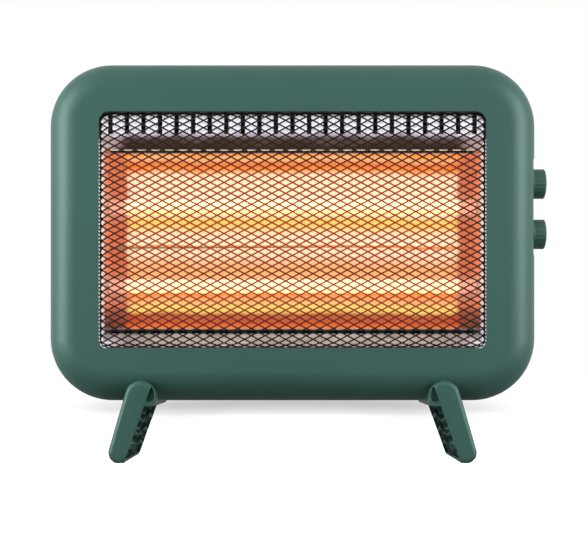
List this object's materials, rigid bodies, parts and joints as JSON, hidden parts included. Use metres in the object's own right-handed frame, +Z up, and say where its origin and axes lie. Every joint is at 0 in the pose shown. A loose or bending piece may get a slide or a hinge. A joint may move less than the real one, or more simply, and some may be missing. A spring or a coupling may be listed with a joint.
{
  "type": "quartz heater",
  "caption": "Free-standing electric heater with quartz tubes and curved reflectors behind a wire guard, in a rounded moulded body on splayed feet, with two turning knobs on its side.",
  "frame": {"origin": "middle of the whole heater's box in plan, at floor level under its feet", "axes": "+X to the right as seen from the front, towards the knobs; +Y to the back; +Z up"},
  "size_m": [0.4014, 0.118, 0.319],
  "materials": {
    "green_plastic": "fine satin grain",
    "black_mesh": "matt black paint",
    "white_enamel": "white paint, satin",
    "bright_steel": "bright rolled sheet",
    "quartz": "clear, glowing from inside",
    "heating_wire": "glowing",
    "ceramic": "unglazed white steatite",
    "zinc_steel": "zinc plated",
    "black_plastic": "moulded, matt",
    "white_plastic": "moulded, matt",
    "brass": "bare"
  },
  "bodies": {
    "housing": {"front_frame": "green_plastic", "rear_cover": "green_plastic", "foot_left": "green_plastic", "foot_right": "green_plastic", "guard_mesh": "black_mesh", "guard_rim": "black_mesh", "top_deflector": "white_enamel", "bottom_deflector": "bright_steel", "reflector": "bright_steel", "end_plate_left": "bright_steel", "end_plate_right": "bright_steel", "quartz_tube_upper": "quartz", "quartz_tube_lower": "quartz", "heating_coil_upper": "heating_wire", "heating_coil_lower": "heating_wire", "end_cap_upper_left": "ceramic", "end_cap_upper_right": "ceramic", "end_cap_lower_left": "ceramic", "end_cap_lower_right": "ceramic", "tube_terminals": "zinc_steel", "cap_strap_left": "zinc_steel", "cap_strap_right": "zinc_steel", "strap_rivets": "zinc_steel", "thermal_cutout": "black_plastic", "selector_body": "white_plastic", "thermostat_body": "ceramic", "control_plate": "zinc_steel", "control_screws": "zinc_steel", "tilt_switch_case": "black_plastic", "tilt_switch_lid": "black_plastic", "cord_gland": "black_plastic", "gland_nut": "black_plastic", "cord_clamp": "white_plastic", "terminal_block": "white_plastic", "terminal_inserts": "brass", "inner_screws": "zinc_steel", "sheet_screws": "zinc_steel", "cover_screws": "zinc_steel", "foot_screws": "zinc_steel"},
    "selector_knob": {"knob_upper": "green_plastic", "selector_shaft": "white_plastic"},
    "thermostat_knob": {"knob_lower": "green_plastic", "thermostat_shaft": "zinc_steel"},
    "tilt_bob": {"tilt_weight": "brass"}
  },
  "joints": [
    {"name": "selector_turn", "type": "hinge", "parent": "housing", "child": "selector_knob", "pos_m": [0.1835, -0.018, 0.225], "axis": [-1, 0, 0], "range_deg": [0, 180]},
    {"name": "thermostat_turn", "type": "hinge", "parent": "housing", "child": "thermostat_knob", "pos_m": [0.1835, -0.018, 0.184], "axis": [-1, 0, 0], "range_deg": [0, 270]},
    {"name": "tilt_swing", "type": "hinge", "parent": "housing", "child": "tilt_bob", "pos_m": [-0.07175, 0.022, 0.0815], "axis": [1, 0, 0], "range_deg": [-18, 18]}
  ]
}
